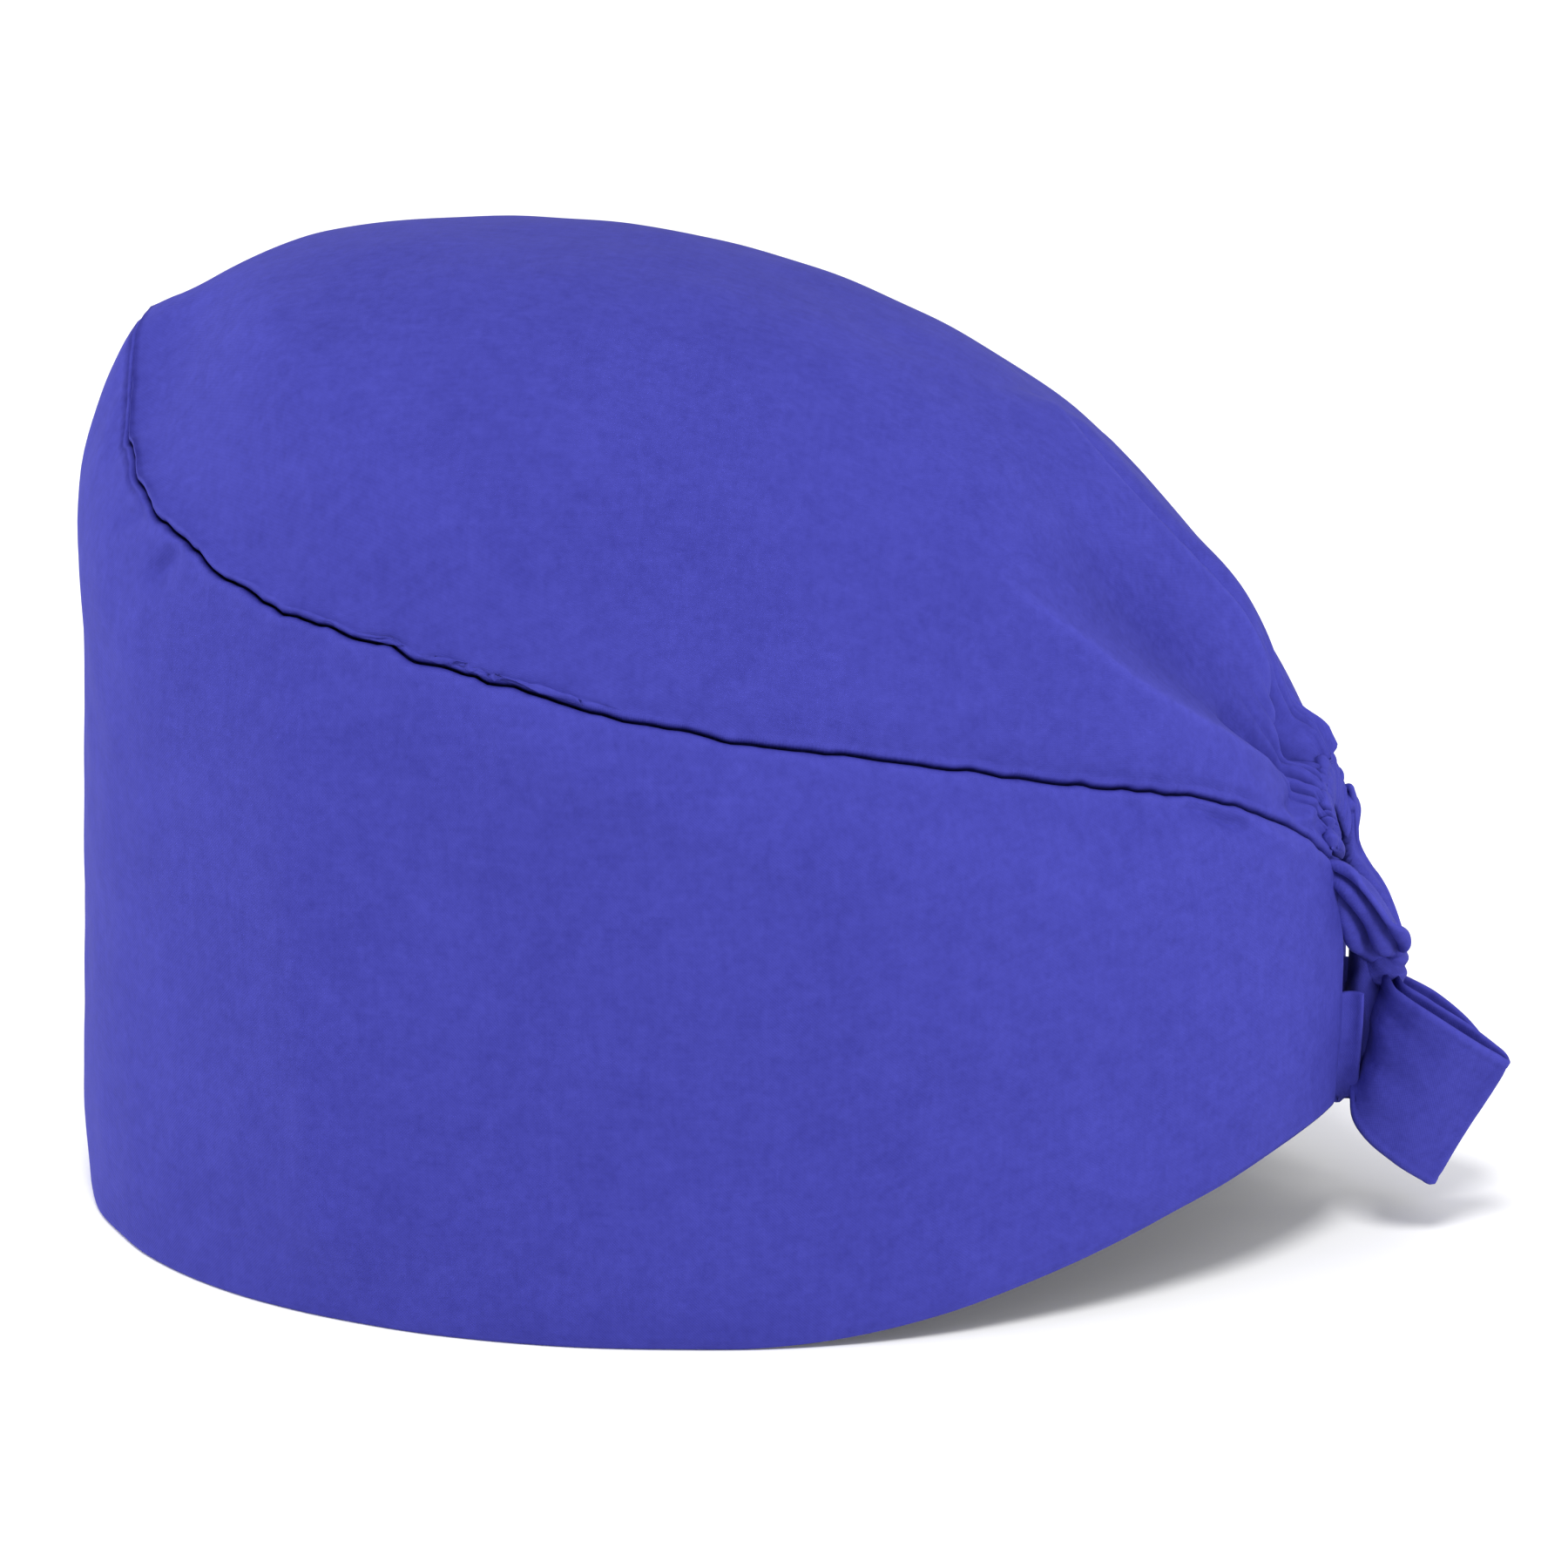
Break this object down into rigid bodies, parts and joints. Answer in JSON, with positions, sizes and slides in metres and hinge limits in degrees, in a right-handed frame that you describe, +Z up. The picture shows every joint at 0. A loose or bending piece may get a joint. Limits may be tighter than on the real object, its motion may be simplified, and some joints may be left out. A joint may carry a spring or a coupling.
{
  "type": "scrub cap",
  "caption": "Tie-back cloth surgical cap: a deep side band, a domed crown gathered at the back, an open nape and a tie in a bow. Empty, standing on its rim.",
  "frame": {"origin": "middle of the head opening, at the height of the surface that the rim rests on", "axes": "+Z up, +X from the forehead towards the bow, -Y towards the wearer's left"},
  "size_m": [0.2434, 0.162, 0.1658],
  "materials": {
    "cotton": "matte, plain weave"
  },
  "bodies": {
    "root": {"side_band": "cotton", "crown": "cotton", "casing": "cotton", "tie_left": "cotton", "tie_right": "cotton", "knot": "cotton", "loop_left": "cotton", "loop_right": "cotton", "tie_end_left": "cotton", "tie_end_right": "cotton"}
  },
  "joints": []
}
